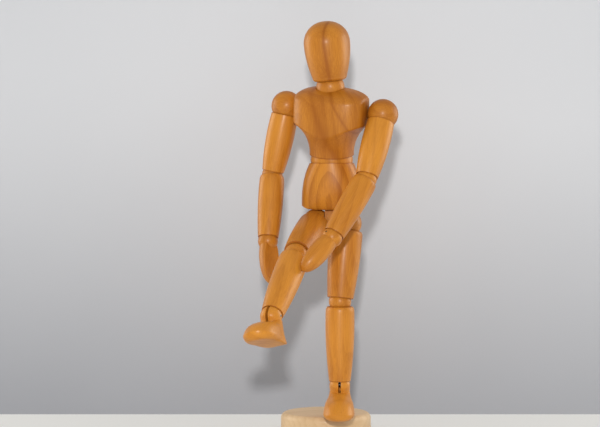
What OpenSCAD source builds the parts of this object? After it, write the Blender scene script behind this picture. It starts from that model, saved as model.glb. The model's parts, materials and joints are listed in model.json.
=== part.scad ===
// Jointed wooden drawing figure on a round stand, posed on one leg with a hand at the raised knee.
// The figure faces -Y, its left side is +X, and the middle of the base's underside is the origin.

/* [Stand] */
// Diameter of the round base
base_d = 66; // [56:1:90]
// Thickness of the base
base_h = 15; // [13:1:25]
// Radius of the base's rounded upper edge
base_edge = 4.2; // [1:0.2:6]
// Diameter of the steel support rod
rod_d = 3.4; // [2.4:0.1:4]
// Depth of the rod in the base
rod_in_base = 11; // [6:0.5:12]
// Depth of the rod in the pelvis
rod_in_pelvis = 18; // [10:0.5:22]
// Distance of the rod behind the line through the hips
rod_behind = 11; // [10.6:0.1:11.6]
// Sideways place of the hips over the base
stance_x = 4; // [0:0.5:8]
// Distance of the hips in front of the base's middle
stance_front = 16; // [8:0.5:18]

/* [Pelvis and waist] */
// Width of the pelvis
pelvis_w = 43.6; // [40:0.2:50]
// Distance between the hip centres
hip_spacing = 22.6; // [21:0.2:26]
// Diameter of the hip balls
hip_ball_d = 21; // [18:0.2:22]
// Width of the tongue between the hip balls
tongue_w = 9.2; // [7:0.2:11]
// Diameter of the tongue between the hip balls
tongue_d = 8; // [7.6:0.2:8.4]
// Height of the waist centre above the hips
waist_rise = 46; // [42:0.5:52]
// Diameter of the waist ball
waist_ball_d = 30.6; // [26:0.2:34]
// Height of the chest's lower rim above the waist centre
chest_rim = 4.3; // [3:0.1:5]
// Depth of the pelvis's upper rim below the waist centre
pelvis_rim = 2.3; // [1.6:0.1:4]

/* [Chest, neck and head] */
// Width of the chest between its flat sides
chest_w = 53; // [46:0.5:60]
// Depth of the chest from front to back
chest_depth = 37; // [34:0.5:42]
// Height of the chest's top above the waist centre
chest_top = 54; // [49:0.5:58]
// Radius of the scoop from the ribs to the waist at the sides
scoop_r = 28; // [22:0.5:36]
// Height of the shoulder centres above the waist centre
shoulder_rise = 35.9; // [33:0.1:38]
// Distance of the shoulder centres behind the chest's middle
shoulder_back = 4.6; // [4.4:0.1:6]
// Diameter of the shoulder balls
shoulder_ball_d = 22; // [20:0.2:25]
// Distance from the chest's flat side to the shoulder centre
shoulder_out = 10.8; // [9.5:0.1:10.8]
// Height of the neck ball's centre above the waist centre
neck_rise = 53.4; // [51:0.2:58]
// Diameter of the neck ball
neck_ball_d = 20.4; // [17:0.2:23]
// Sideways place of the neck on the chest
neck_side = -1.2; // [-1.4:0.1:1.4]
// Width of the head
head_w = 32.2; // [28:0.2:40]
// Depth of the head from face to back
head_depth = 37; // [30:0.5:44]
// Height of the head
head_h = 42.6; // [38:0.2:52]
// Width of the head at the chin
chin_w = 24; // [23:0.2:30]
// Height of the chin above the neck centre
chin_rise = 4.9; // [3:0.1:6]

/* [Arms] */
// Shoulder centre to elbow centre
upper_arm_len = 51; // [46:0.5:58]
// Diameter of the upper arm's rim at the shoulder
upper_arm_top_d = 19.4; // [18:0.2:21]
// Greatest diameter of the upper arm
upper_arm_d = 20.4; // [18:0.2:23]
// Diameter of the upper arm at the elbow
upper_arm_low_d = 15.8; // [15.2:0.1:18]
// Diameter of the elbow balls
elbow_ball_d = 15; // [13.6:0.1:15.4]
// Elbow centre to wrist centre
forearm_len = 51.1; // [50:0.1:54]
// Greatest diameter of the forearm
forearm_d = 18.4; // [17:0.2:21]
// Diameter of the forearm at the wrist
forearm_low_d = 14.8; // [14.4:0.1:17]
// Diameter of the wrist balls
wrist_ball_d = 14.4; // [13:0.1:14.8]
// Wrist centre to finger tips
hand_len = 34; // [31:0.5:37]
// Width of the hand across the knuckles
hand_w = 14.8; // [13:0.2:16]

/* [Legs] */
// Hip centre to knee centre
thigh_len = 56.8; // [54:0.2:62]
// Greatest diameter of the thigh
thigh_d = 23.6; // [22:0.2:25]
// Diameter of the thigh at the knee
thigh_low_d = 18.8; // [18:0.2:21]
// Diameter of the knee balls
knee_ball_d = 16.2; // [14:0.2:17]
// Knee centre to ankle centre
shin_len = 60.4; // [56:0.5:68]
// Greatest diameter of the shin
shin_d = 21; // [18.4:0.2:23]
// Diameter of the shin at the ankle
shin_low_d = 15.4; // [15:0.1:17]
// Diameter of the ankle balls
ankle_ball_d = 15; // [13.6:0.1:15.2]
// Length of the foot
foot_len = 44.5; // [38:0.5:48]
// Width of the foot
foot_w = 22.6; // [20:0.2:25]
// Height of the ankle centre above the sole
ankle_rise = 20.7; // [20:0.1:24]

/* [Fittings] */
// Diameter of the cross pins
pin_d = 1.6; // [1.2:0.1:2]
// Diameter of the spring wire and the hooks
wire_d = 0.9; // [0.7:0.05:1.1]
// Outside diameter of the springs
spring_d = 4.2; // [3.8:0.1:4.4]
// Diameter of the eyes on the springs, to the middle of the wire
eye_d = 3.2; // [2.9:0.1:3.4]
// Diameter of the heads on the wire ends
head_d = 2.4; // [2:0.1:2.5]
// Width of the slots in the balls
slot_w = 1.9; // [1.8:0.1:2.6]
// Gap between a ball and its socket
joint_gap = 0.25; // [0.15:0.05:0.4]
// Running gap around turning wires, springs and flat seats
play = 0.3; // [0.2:0.05:0.4]
// Gap around pressed-in pins and rods
press_gap = 0.02; // [0.01:0.01:0.04]
// Thickness of the thin rims around the sockets
thin_lip = 0.5; // [0.3:0.1:1]
// Thickness of the rims at the knees
knee_lip = 1.4; // [1:0.1:1.8]

/* [Pose] */
// Turn of the hips about the rod, to the figure's own left
hip_turn = -8.7; // [-12:0.1:-5]
// Turn of the waist
waist_turn = -13; // [-16:0.1:-8]
// Sideways lean of the chest
waist_lean = 5.2; // [3.6:0.1:6.4]
// Forward bend of the chest
waist_bend = 13; // [11:0.1:14]
// Backward tilt of the neck on the chest
neck_back = 5; // [2:0.1:8]
// Sideways tilt of the head
head_tilt = -7.5; // [-10:0.1:-4]
// Forward swing of the right arm
right_arm_swing = 15.5; // [12:0.5:18]
// Sideways lift of the right arm
right_arm_raise = 6.5; // [6.3:0.1:10]
// Twist of the right elbow
right_elbow_twist = 42; // [32:0.5:48]
// Bend of the right elbow
right_elbow_bend = 23; // [15:0.5:26]
// Twist of the right wrist
right_wrist_twist = 22; // [5:1:40]
// Bend of the right wrist
right_wrist_bend = 12; // [4:0.5:16]
// Forward lift of the right leg
right_hip_swing = 69; // [65:0.1:70]
// Sideways spread of the right leg
right_leg_spread = 6.9; // [4:0.1:9]
// Twist of the right knee
right_knee_twist = 9; // [5:0.5:12]
// Bend of the right knee
right_knee_bend = 21; // [16:0.5:23]
// Outward twist of the right foot
right_foot_twist = -19; // [-35:1:-10]
// Sideways slant of the right foot under its ankle ball
right_foot_cant = -9; // [-12:0.5:4]
// Upward bend of the right foot at the ankle
right_foot_bend = -37; // [-40:0.5:-30]
// Forward swing of the left leg
left_hip_swing = 8; // [6:0.1:10]
// Inward lean of the left leg
left_leg_spread = -4.2; // [-5:0.1:-3.4]
// Bend of the left knee
left_knee_bend = 8.5; // [5:0.1:9]
// Twist of the left knee
left_knee_twist = -29; // [-35:1:-15]
// Turn of the left foot on the base
left_foot_turn = -3; // [-10:0.5:2]
// Downward tilt of the left foot's toe over the edge of the base
left_foot_drop = 4.5; // [2:0.5:6]
// Left wrist beside the right knee: out from the thigh's axis, behind it and up it
wrist_by_knee = [25.5, -12.5, 4.9];
// Left finger tips beside the right knee: out from the thigh's axis, behind it and up it
tips_by_knee = [9.6, 2.6, -21.1];
// Direction in which the left elbow stands out from the straight line to the hand
elbow_out = [0.88, 0.14, -0.44];
// Gap between the standing sole and the base
sole_gap = 1.9; // [1.4:0.1:2.6]

/* [Hidden] */
$fn = 64;
right = -1;
left = 1;
wood = [0.87, 0.6, 0.3];
pale_wood = [0.88, 0.76, 0.58];
steel = [0.72, 0.73, 0.75];
over = 1; // how far a cut runs past what it cuts

// Frames are 4 by 4 matrices
function turn_x(a) = [[1, 0, 0, 0], [0, cos(a), -sin(a), 0], [0, sin(a), cos(a), 0], [0, 0, 0, 1]];
function turn_y(a) = [[cos(a), 0, sin(a), 0], [0, 1, 0, 0], [-sin(a), 0, cos(a), 0], [0, 0, 0, 1]];
function turn_z(a) = [[cos(a), -sin(a), 0, 0], [sin(a), cos(a), 0, 0], [0, 0, 1, 0], [0, 0, 0, 1]];
function shift(v) = [[1, 0, 0, v.x], [0, 1, 0, v.y], [0, 0, 1, v.z], [0, 0, 0, 1]];
function point(frame, v) = let (q = frame * [v.x, v.y, v.z, 1]) [q.x, q.y, q.z];
function middle(frame) = point(frame, [0, 0, 0]);
function unit(v) = v / norm(v);
// A direction seen from inside a frame
function inward(frame, v) = [for (i = [0:2]) frame[0][i] * v.x + frame[1][i] * v.y + frame[2][i] * v.z];

// A limb that hangs along a direction: swung about X and then about Y
function hang(d) = turn_x(atan2(d.y, -d.z)) * turn_y(-asin(d.x));
// A limb that follows a direction: the ball twists about Z and then bends forward about X
function twist_to(d) = atan2(d.x, -d.y);
function bend_to(d) = acos(-d.z);
// A hand whose palm faces a direction
function twist_palm(n) = atan2(n.x, -n.y);
function bend_palm(n) = -asin(n.z);

// The standing leg sets the height of the hips
left_thigh_turn = turn_x(-left_hip_swing) * turn_y(-left_leg_spread);
left_leg_drop = -(middle(left_thigh_turn * shift([0, 0, -thigh_len]) * turn_z(left_knee_twist)
    * turn_x(left_knee_bend) * shift([0, 0, -shin_len])).z);
hip_height = base_h + sole_gap + ankle_rise + left_leg_drop;

pelvis_over_hips = 0.6; // how far the hip balls' tops stand into the pelvis
pelvis_floor = hip_ball_d / 2 - pelvis_over_hips;
hips = shift([stance_x, -stance_front, hip_height]) * turn_z(hip_turn);
rod_top = hip_height + pelvis_floor + rod_in_pelvis;
rod_place = point(hips, [0, rod_behind, 0]);
waist = hips * shift([0, 0, waist_rise]) * turn_z(waist_turn) * turn_y(waist_lean);
chest_frame = waist * turn_x(waist_bend);
neck_frame = chest_frame * shift([neck_side, 0, neck_rise]) * turn_x(-neck_back);
neck_slant = atan2(neck_side, neck_rise);
neck_reach = norm([neck_side, neck_rise]);
head_frame = neck_frame * turn_y(head_tilt);

// Legs
function hip_at(side) = hips * shift([side * hip_spacing / 2, 0, 0]);
function hip_frame(side) = hip_at(side) * turn_x(-(side == right ? right_hip_swing : left_hip_swing));
function thigh_frame(side) =
    hip_frame(side) * turn_y(-side * (side == right ? right_leg_spread : left_leg_spread));
function knee_frame(side) =
    thigh_frame(side) * shift([0, 0, -thigh_len])
        * turn_z(side == right ? right_knee_twist : left_knee_twist);
function shin_frame(side) =
    knee_frame(side) * turn_x(side == right ? right_knee_bend : left_knee_bend);
function ankle_at(side) = shin_frame(side) * shift([0, 0, -shin_len]);
foot_across = [cos(left_foot_turn), sin(left_foot_turn), 0];
left_across = inward(ankle_at(left), foot_across);
function ankle_frame(side) =
    ankle_at(side) * turn_z(side == right ? right_foot_twist : atan2(left_across.y, left_across.x));
function foot_frame(side) = side == right
    ? ankle_frame(side) * turn_x(-right_foot_bend)
    : shift(middle(ankle_at(side))) * turn_z(left_foot_turn) * turn_x(left_foot_drop);

// Arms, where the left one reaches for the raised knee
function shoulder_at(side) =
    chest_frame * shift([side * (chest_w / 2 + shoulder_out), shoulder_back, shoulder_rise]);
knee_side = thigh_frame(right) * shift([0, 0, -thigh_len]);
left_wrist_at = point(knee_side, wrist_by_knee);
left_tips_at = point(knee_side, tips_by_knee);
reach = left_wrist_at - middle(shoulder_at(left));
reach_len = norm(reach);
reach_mid = (pow(upper_arm_len, 2) - pow(forearm_len, 2) + pow(reach_len, 2)) / (2 * reach_len);
elbow_side = unit(elbow_out - unit(reach) * (elbow_out * unit(reach)));
elbow_off = sqrt(max(0, pow(upper_arm_len, 2) - pow(reach_mid, 2)));
left_elbow_at = middle(shoulder_at(left)) + unit(reach) * reach_mid + elbow_side * elbow_off;
left_hang = inward(shoulder_at(left), unit(left_elbow_at - middle(shoulder_at(left))));
function shoulder_frame(side) = shoulder_at(side)
    * turn_x(side == right ? -right_arm_swing : atan2(left_hang.y, -left_hang.z));
function upper_arm_frame(side) = side == right
    ? shoulder_frame(side) * turn_y(right_arm_raise)
    : shoulder_at(side) * hang(left_hang);
left_fore = inward(upper_arm_frame(left), unit(left_wrist_at - left_elbow_at));
function elbow_frame(side) = upper_arm_frame(side) * shift([0, 0, -upper_arm_len])
    * turn_z(side == right ? right_elbow_twist : twist_to(left_fore));
function forearm_frame(side) =
    elbow_frame(side) * turn_x(-(side == right ? right_elbow_bend : bend_to(left_fore)));
function wrist_at(side) = forearm_frame(side) * shift([0, 0, -forearm_len]);
left_blade = unit(left_tips_at - left_wrist_at);
knee_way = middle(knee_side) - (left_wrist_at + left_tips_at) / 2;
left_palm = inward(wrist_at(left), unit(knee_way - left_blade * (knee_way * left_blade)));
function wrist_frame(side) =
    wrist_at(side) * turn_z(side == right ? right_wrist_twist : twist_palm(left_palm));
function hand_frame(side) =
    wrist_frame(side) * turn_x(side == right ? -right_wrist_bend : bend_palm(left_palm));
// Sideways slant of a hand's blade on its wrist ball
blade_way = inward(hand_frame(left), left_blade);
function hand_cant(side) = side == right ? 0 : atan2(-blade_way.x, -blade_way.z);

// Fittings that every ball shares
eye_r = eye_d / 2;
wire_r = wire_d / 2;
eye_drop = eye_r - wire_r - pin_d / 2 - press_gap; // the eye hangs on the pin
eye_reach = eye_r + wire_r + eye_drop; // from the pin to the eye's far side
pocket_r = eye_reach + play;
head_in = pocket_r + play; // from the ball's centre to the head on a wire end
head_t = 0.8;
spring_bore = spring_d + 2 * play;
spring_wall = wire_d;
coil_pitch = 1.3;
spring_clear = 3; // from a ball's surface to the spring's last turn

// Where a limb's rim meets the ball that its socket rides on
widest_mouth = 0.985; // as a share of the socket's radius
function rim_at(ball_d, limb_d, lip) =
    let (socket_r = ball_d / 2 + joint_gap)
    let (mouth_r = min(limb_d / 2 - lip, widest_mouth * socket_r))
    sqrt(pow(socket_r, 2) - pow(mouth_r, 2));

// Turned limb: its side bows through three radii, and its ends are rounded over
side_steps = 14;
end_steps = 5;
function bow(t, mid, r0, r1, r2) =
    r0 * (t - mid) * (t - 1) / mid
        + r1 * t * (t - 1) / (mid * (mid - 1))
        + r2 * t * (t - mid) / (1 - mid);
function limb_outline(z0, z1, mid, r0, r1, r2, over0, over1) = concat(
    [[0, z0]],
    [for (i = [0:end_steps]) let (a = 90 * i / end_steps) let (z = z0 - over0.y * (1 - cos(a)))
        [bow((z0 - z) / (z0 - z1), mid, r0, r1, r2) - over0.x * (1 - sin(a)), z]],
    [for (i = [1:side_steps - 1])
        let (z = z0 - over0.y + (z1 + over1.y - z0 + over0.y) * i / side_steps)
        [bow((z0 - z) / (z0 - z1), mid, r0, r1, r2), z]],
    [for (i = [end_steps:-1:0]) let (a = 90 * i / end_steps) let (z = z1 + over1.y * (1 - cos(a)))
        [bow((z0 - z) / (z0 - z1), mid, r0, r1, r2) - over1.x * (1 - sin(a)), z]],
    [[0, z1]]
);

module limb(len, top_ball, top_rim, low_ball, low_rim, mid, radii, over0, over1) {
    difference() {
        rotate_extrude()
            polygon(limb_outline(
                -top_rim, low_rim - len, mid, radii[0], radii[1], radii[2], over0, over1
            ));
        sphere(top_ball / 2 + joint_gap);
        translate([0, 0, -len])
            sphere(low_ball / 2 + joint_gap);
        translate([0, 0, -len])
            cylinder(d = spring_bore, h = len);
    }
}

// Slot across a ball in the plane of its bend: a round pocket with a fan for the swing of the wire
fan_steps = 4;
module slot(from, to, reach_r) {
    half = wire_r + play;
    step = (to - from) / fan_steps;
    function ray(a) = [sin(a), -cos(a)];
    function aside(a) = half * [cos(a), sin(a)];
    rotate([90, 0, 90])
        translate([0, 0, -slot_w / 2])
            linear_extrude(slot_w) {
                circle(pocket_r);
                polygon(concat(
                    [-aside(from), reach_r * ray(from) - aside(from)],
                    [for (i = [1:fan_steps - 1]) reach_r / cos(step) * ray(from + step * i)],
                    [reach_r * ray(to) + aside(to), aside(to)]
                ));
            }
}

// Ball with a pin across X, a slot in the bend's plane and a headed wire from above, tilted about Y
module ball(d, from, to, tilt, side) {
    difference() {
        sphere(d = d);
        slot(from, to, d / 2 + over);
        rotate([0, tilt, 0])
            wire_way(d / 2 + over);
        pin_way(d, side);
    }
}

// Way for a headed wire that comes down to a ball's centre
module wire_way(top) {
    cylinder(r = wire_r + play, h = top);
    cylinder(d = head_d + 2 * play, h = head_in + head_t + play);
}

// Blind bore for a cross pin, open at the ball's -X or +X side
pin_hold = pocket_r + 2.6; // from the ball's centre to the bore's blind end
module pin_way(d, side) {
    rotate([0, side * 90, 0])
        translate([0, 0, -pin_hold])
            cylinder(d = pin_d + 2 * press_gap, h = pin_hold + d / 2 + over);
}

// Cross pin, driven in a little below the ball's surface
module pin(d, side) {
    color(steel)
        rotate([0, side * 90, 0])
            translate([0, 0, play - pin_hold])
                cylinder(d = pin_d, h = sqrt(pow(d / 2, 2) - pow(pin_d, 2)) + pin_hold - 2 * play);
}

// Eye around a pin at the origin, with its wire going down
module eye(end) {
    translate([0, 0, -eye_drop])
        rotate([0, 90, 0])
            rotate_extrude()
                translate([eye_r, 0])
                    circle(wire_r);
    translate([0, 0, -end])
        cylinder(r = wire_r, h = end - eye_drop - eye_r);
}

// Close-wound coil between two heights: a ribbed rod, or a tube when its lower plate has a hole
module coil(top, low, hole) {
    turns = floor((top - low - 2 * spring_wall) / coil_pitch);
    pitch = (top - low - 2 * spring_wall) / turns;
    out_r = spring_d / 2;
    rib_r = out_r - wire_d / 3;
    in_r = out_r - spring_wall;
    rotate_extrude()
        polygon(concat(
            [[0, top], [out_r, top]],
            [for (i = [0:turns - 1]) let (z = top - spring_wall - pitch * i)
                each [[out_r, z], [rib_r, z - pitch / 2]]],
            [[out_r, low + spring_wall], [out_r, low], [hole, low]],
            hole > 0 ? [[hole, low + spring_wall], [in_r, low + spring_wall],
                [in_r, top - spring_wall], [0, top - spring_wall]] : []
        ));
}

// Headed wire end: a straight wire with a round head at its lower end
module headed_wire(top, head_z) {
    translate([0, 0, head_z])
        cylinder(r = wire_r, h = top - head_z);
    translate([0, 0, head_z])
        cylinder(d = head_d, h = head_t);
}

// Spring of an upper limb: an eye on the upper ball's pin and a headed end in the lower ball
module limb_spring(len, top_ball, low_ball) {
    top = -top_ball / 2 - spring_clear;
    low = low_ball / 2 + spring_clear - len;
    color(steel) {
        eye(-top + spring_wall / 2);
        coil(top, low, 0);
        headed_wire(low + spring_wall / 2, head_in - len);
    }
}

// Spring of a lower limb: an eye on the upper ball's pin and a plate that holds a turning hook
hook_len = 9; // from the hook's pin to the spring's plate, beyond the ball's radius
module hooked_spring(len, top_ball, low_ball) {
    top = -top_ball / 2 - spring_clear;
    low = low_ball / 2 + hook_len - spring_clear - len;
    color(steel) {
        eye(-top + spring_wall / 2);
        coil(top, low, wire_r + play);
    }
}

// Hook that turns in the spring's plate and holds the pin of a hand or foot
module hook(low_ball) {
    plate = low_ball / 2 + hook_len - spring_clear + spring_wall;
    color(steel) {
        mirror([0, 0, 1])
            eye(plate + play + head_t / 2);
        translate([0, 0, plate + play])
            cylinder(d = head_d - wire_r, h = head_t);
    }
}

// Lofted form: rings of points from one end to the other, closed by a fan at each end
module loft(rings) {
    n = len(rings[0]);
    count = len(rings);
    points = [for (ring = rings) each ring];
    polyhedron(points, concat(
        [[for (i = [0:n - 1]) i]],
        [for (r = [0:count - 2]) for (i = [0:n - 1]) let (j = (i + 1) % n)
            let (low = r * n) let (high = low + n)
            each [[low + i, high + i, high + j], [low + i, high + j, low + j]]],
        [[for (i = [n - 1:-1:0]) (count - 1) * n + i]]
    ));
}
function soft_min(a, b, k) = -ln(exp(-k * a) + exp(-k * b)) / k;
// Radius of a rounded box in a direction
function box_r(t, a, b, e) = 1 / pow(pow(abs(cos(t)) / a, e) + pow(abs(sin(t)) / b, e), 1 / e);

// Pelvis: round at the waist, wide at the hips
pelvis_around = 44;
pelvis_levels = 18;
pelvis_top_r = waist_ball_d / 2 + joint_gap + thin_lip;
pelvis_front_in = 6.4; // how far the belly draws in above the legs
pelvis_back_in = 1.6;
function pelvis_ring(t, inset) =
    let (z = waist_rise - pelvis_rim + (pelvis_floor - waist_rise + pelvis_rim) * t)
    let (a = pelvis_top_r + (pelvis_w / 2 - pelvis_top_r) * (1 - pow(1 - t, 3)) - inset)
    let (front = pelvis_top_r + 0.4 * t - pelvis_front_in * pow(t, 4) - inset)
    let (back = pelvis_top_r + 0.6 * t - pelvis_back_in * pow(t, 4) - inset)
    [for (i = [0:pelvis_around - 1]) let (u = 360 * i / pelvis_around)
        let (r = box_r(u, a, sin(u) < 0 ? front : back, 2 + 0.5 * t)) [r * cos(u), r * sin(u), z]];
hip_groove_r = hip_ball_d / 2 + 2.8; // room for the thigh's rim
pelvis_edge = 0.8; // chamfer of the lower edge
pelvis_edge_at = 0.975; // where the chamfer begins, as a share of the height
module pelvis() {
    color(wood)
        multmatrix(hips)
            difference() {
                union() {
                    difference() {
                        loft([
                            pelvis_ring(1, pelvis_edge),
                            for (i = [pelvis_levels:-1:0])
                                pelvis_ring(pelvis_edge_at * i / pelvis_levels, 0)
                        ]);
                        rotate([0, 90, 0])
                            cylinder(r = hip_groove_r, h = pelvis_w + 2 * over, center = true);
                    }
                    tongue();
                }
                translate([0, 0, waist_rise])
                    sphere(waist_ball_d / 2 + joint_gap);
                translate([0, 0, waist_rise - pelvis_hook_len])
                    cylinder(r = wire_d + press_gap, h = pelvis_hook_len);
                rotate([0, 90, 0])
                    cylinder(d = spring_bore, h = tongue_w + over, center = true);
                translate([0, rod_behind, pelvis_floor - over])
                    cylinder(d = rod_d + 2 * rod_slip, h = rod_in_pelvis + over + play);
            }
}
rod_slip = 0.08;
pelvis_hook_len = waist_ball_d / 2 + 12; // from the waist centre to the hook's lower end

// Tongue that the hip balls sit against, as tall as the groove it hangs in
module tongue() {
    rotate([0, 90, 0])
        cylinder(d = tongue_d, h = tongue_w, center = true);
    translate([-tongue_w / 2, -tongue_neck / 2, 0])
        cube([tongue_w, tongue_neck, hip_groove_r + over]);
}
tongue_neck = 0.8 * tongue_d;

// Chest: a rounded block with sloping shoulders, scooped all round to the waist
chest_around = 48;
chest_levels = 20;
shoulder_levels = 9;
scoop_start = 1.1; // height above the rim where the scoop begins
shoulder_drop = 9.5; // how far the shoulders slope below the chest's top
shoulder_top = 84; // angle at which the shoulders' rounding ends
shoulder_full = 0.9; // the smaller, the squarer the shoulders
chest_bottom_r = waist_ball_d / 2 + joint_gap + thin_lip;
chest_square = 2.8; // 2 is an ellipse seen from above, more is squarer
rib_edge = 2.2; // the larger, the sharper the edge under the ribs
chest_back = 0.45; // share of the chest's depth that lies behind its middle
function scoop(z) =
    let (rise = min(scoop_r, max(0, z - chest_rim - scoop_start)))
    chest_bottom_r + scoop_r - sqrt(pow(scoop_r, 2) - pow(rise, 2));
chest_slim = 1.1; // how much thinner the chest gets towards its top
function chest_lean(z) = let (s = max(0, z - chest_top / 2) / chest_top) 1 - chest_slim * s * s;
function chest_ring(z, shrink) = [for (i = [0:chest_around - 1]) let (u = 360 * i / chest_around)
    let (depth = chest_depth * (sin(u) < 0 ? 1 - chest_back : chest_back) * chest_lean(z))
    let (r = soft_min(box_r(u, chest_w / 2 + over, depth, chest_square), scoop(z), rib_edge) * shrink)
    [r * cos(u), r * sin(u), z]];
module chest() {
    start = chest_top - shoulder_drop;
    color(wood)
        multmatrix(chest_frame)
            difference() {
                intersection() {
                    loft([
                        for (i = [0:chest_levels])
                            chest_ring(chest_rim + (start - chest_rim) * i / chest_levels, 1),
                        for (i = [1:shoulder_levels]) let (a = shoulder_top * i / shoulder_levels)
                            chest_ring(
                                start + shoulder_drop * sin(a) / sin(shoulder_top),
                                pow(cos(a), shoulder_full)
                            )
                    ]);
                    translate([-chest_w / 2, -chest_depth, 0])
                        cube([chest_w, 2 * chest_depth, 2 * chest_top]);
                }
                sphere(waist_ball_d / 2 + joint_gap);
                translate([neck_side, 0, neck_rise])
                    sphere(neck_ball_d / 2 + joint_gap);
                rotate([0, neck_slant, 0])
                    cylinder(d = spring_bore, h = neck_reach);
                translate([0, shoulder_back, shoulder_rise])
                    rotate([0, 90, 0])
                        cylinder(d = spring_bore, h = chest_w + over, center = true);
            }
}

// Head: an egg, fuller at the back, with a flattened underside
head_around = 44;
head_levels = 12;
crown_levels = 9;
head_wide = 0.63; // height of the widest place, as a share of the head
head_edge = 2.6; // rounding of the lower edge
head_back = 0.54; // share of the head's depth behind its middle
head_square = 2.1; // 2 is an ellipse seen from above, more is squarer
jaw_taper = 1.9; // the larger, the lower the jaw draws in
crown_end = 86; // angle at which the crown's rings end
crown_full = 0.92; // the smaller, the fuller the crown
function head_ring(z, s) = [for (i = [0:head_around - 1]) let (u = 360 * i / head_around)
    let (depth = head_depth * (sin(u) < 0 ? 1 - head_back : head_back) * 2 / head_w)
    let (r = box_r(u, s, s * depth, head_square)) [r * cos(u), r * sin(u), z]];
function egg(f) = head_w / 2 - (head_w - chin_w) / 2 * pow(1 - f, jaw_taper);
module head() {
    wide_z = chin_rise + head_h * head_wide;
    crown = head_h * (1 - head_wide);
    color(wood)
        multmatrix(head_frame)
            difference() {
                loft([
                    for (a = [0:30:60])
                        head_ring(
                            chin_rise + head_edge * (1 - cos(a)),
                            egg(0) - head_edge * (1 - sin(a))
                        ),
                    for (i = [1:head_levels]) let (f = i / head_levels)
                        head_ring(chin_rise + head_edge + (wide_z - chin_rise - head_edge) * f, egg(f)),
                    for (i = [1:crown_levels]) let (a = crown_end * i / crown_levels)
                        head_ring(
                            wide_z + crown * sin(a) / sin(crown_end),
                            head_w / 2 * pow(cos(a), crown_full)
                        )
                ]);
                sphere(neck_ball_d / 2 + joint_gap);
                cylinder(r = wire_d + press_gap, h = head_hook_len);
            }
}
head_hook_len = neck_ball_d / 2 + 14; // from the neck centre to the hook's upper end

// Hook that is fixed in one piece and turns by its head in a ball
module fixed_hook(ball_d, end) {
    color(steel) {
        headed_wire(ball_d / 2 + 2 * play, head_in);
        translate([0, 0, ball_d / 2 + joint_gap])
            cylinder(r = wire_d, h = end - ball_d / 2 - joint_gap);
    }
}

module base() {
    color(pale_wood)
        difference() {
            rotate_extrude() {
                square([base_d / 2 - base_edge, base_h]);
                square([base_d / 2, base_h - base_edge]);
                translate([base_d / 2 - base_edge, base_h - base_edge])
                    circle(base_edge);
            }
            translate([rod_place.x, rod_place.y, base_h - rod_in_base])
                cylinder(d = rod_d + 2 * press_gap, h = rod_in_base + over);
        }
}

module support_rod() {
    color(steel)
        translate([rod_place.x, rod_place.y, base_h - rod_in_base])
            cylinder(d = rod_d, h = rod_top - base_h + rod_in_base);
}

// How far the slots let the wires swing, in degrees
waist_slot = 30;
neck_slot_front = 25;
neck_slot_back = 35;
limb_slot = 62;
limb_slot_back = 10;
hand_slot = 55;
shoulder_slot = 30;
hip_slot = 25;

module waist_ball() {
    color(wood)
        multmatrix(waist)
            mirror([0, 0, 1])
                ball(waist_ball_d, -waist_slot, waist_slot, waist_lean, right);
}

module neck() {
    color(wood)
        multmatrix(neck_frame)
            ball(neck_ball_d, -neck_slot_front, neck_slot_back, head_tilt, right);
}

// Spring through the chest from the waist's pin to the neck's pin
module torso_spring() {
    low = waist_ball_d / 2 + spring_clear;
    top = neck_reach - neck_ball_d / 2 - spring_clear;
    color(steel)
        multmatrix(chest_frame * turn_y(neck_slant)) {
            mirror([0, 0, 1])
                eye(low + spring_wall / 2);
            coil(top, low, 0);
            translate([0, 0, neck_reach])
                eye(neck_reach - top + spring_wall / 2);
        }
}

// Spring across the body between two balls, with a headed end in each
module cross_spring(half, seat) {
    color(steel) {
        rotate([0, 90, 0])
            coil(seat, -seat, 0);
        for (side = [-1, 1])
            rotate([0, side * 90, 0])
                cross_end(half - head_in, seat - spring_wall / 2);
    }
}
module cross_end(end, start) {
    translate([0, 0, start])
        cylinder(r = wire_r, h = end - start);
    translate([0, 0, end - head_t])
        cylinder(d = head_d, h = head_t);
}
shoulder_half = chest_w / 2 + shoulder_out;
hip_half = hip_spacing / 2;
module shoulder_spring() {
    multmatrix(chest_frame)
        translate([0, shoulder_back, shoulder_rise])
            cross_spring(shoulder_half, chest_w / 2 - spring_clear);
}
module hip_spring() {
    multmatrix(hips)
        cross_spring(hip_half, tongue_w / 2 - play);
}

// Ball that sits flat against the body, with its pin across Y and its wire coming in along X
module side_ball(d, flat, side, from, to) {
    color(wood)
        difference() {
            sphere(d = d);
            translate([-side * (flat + d), 0, 0])
                cube([2 * d, 2 * d, 2 * d], center = true);
            rotate([0, 0, 90])
                slot(from, to, d / 2 + over);
            rotate([0, -side * 90, 0])
                wire_way(flat + over);
            rotate([0, 0, 90])
                pin_way(d, 1);
        }
}
module shoulder_ball(side) {
    multmatrix(shoulder_frame(side))
        side_ball(shoulder_ball_d, shoulder_out - play, side, -shoulder_slot, shoulder_slot);
}
module hip_ball(side) {
    multmatrix(hip_frame(side))
        side_ball(hip_ball_d, hip_half - tongue_w / 2 - play, side, -hip_slot, hip_slot);
}
module side_pin(frame, d) {
    multmatrix(frame)
        rotate([0, 0, 90])
            pin(d, 1);
}

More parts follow.
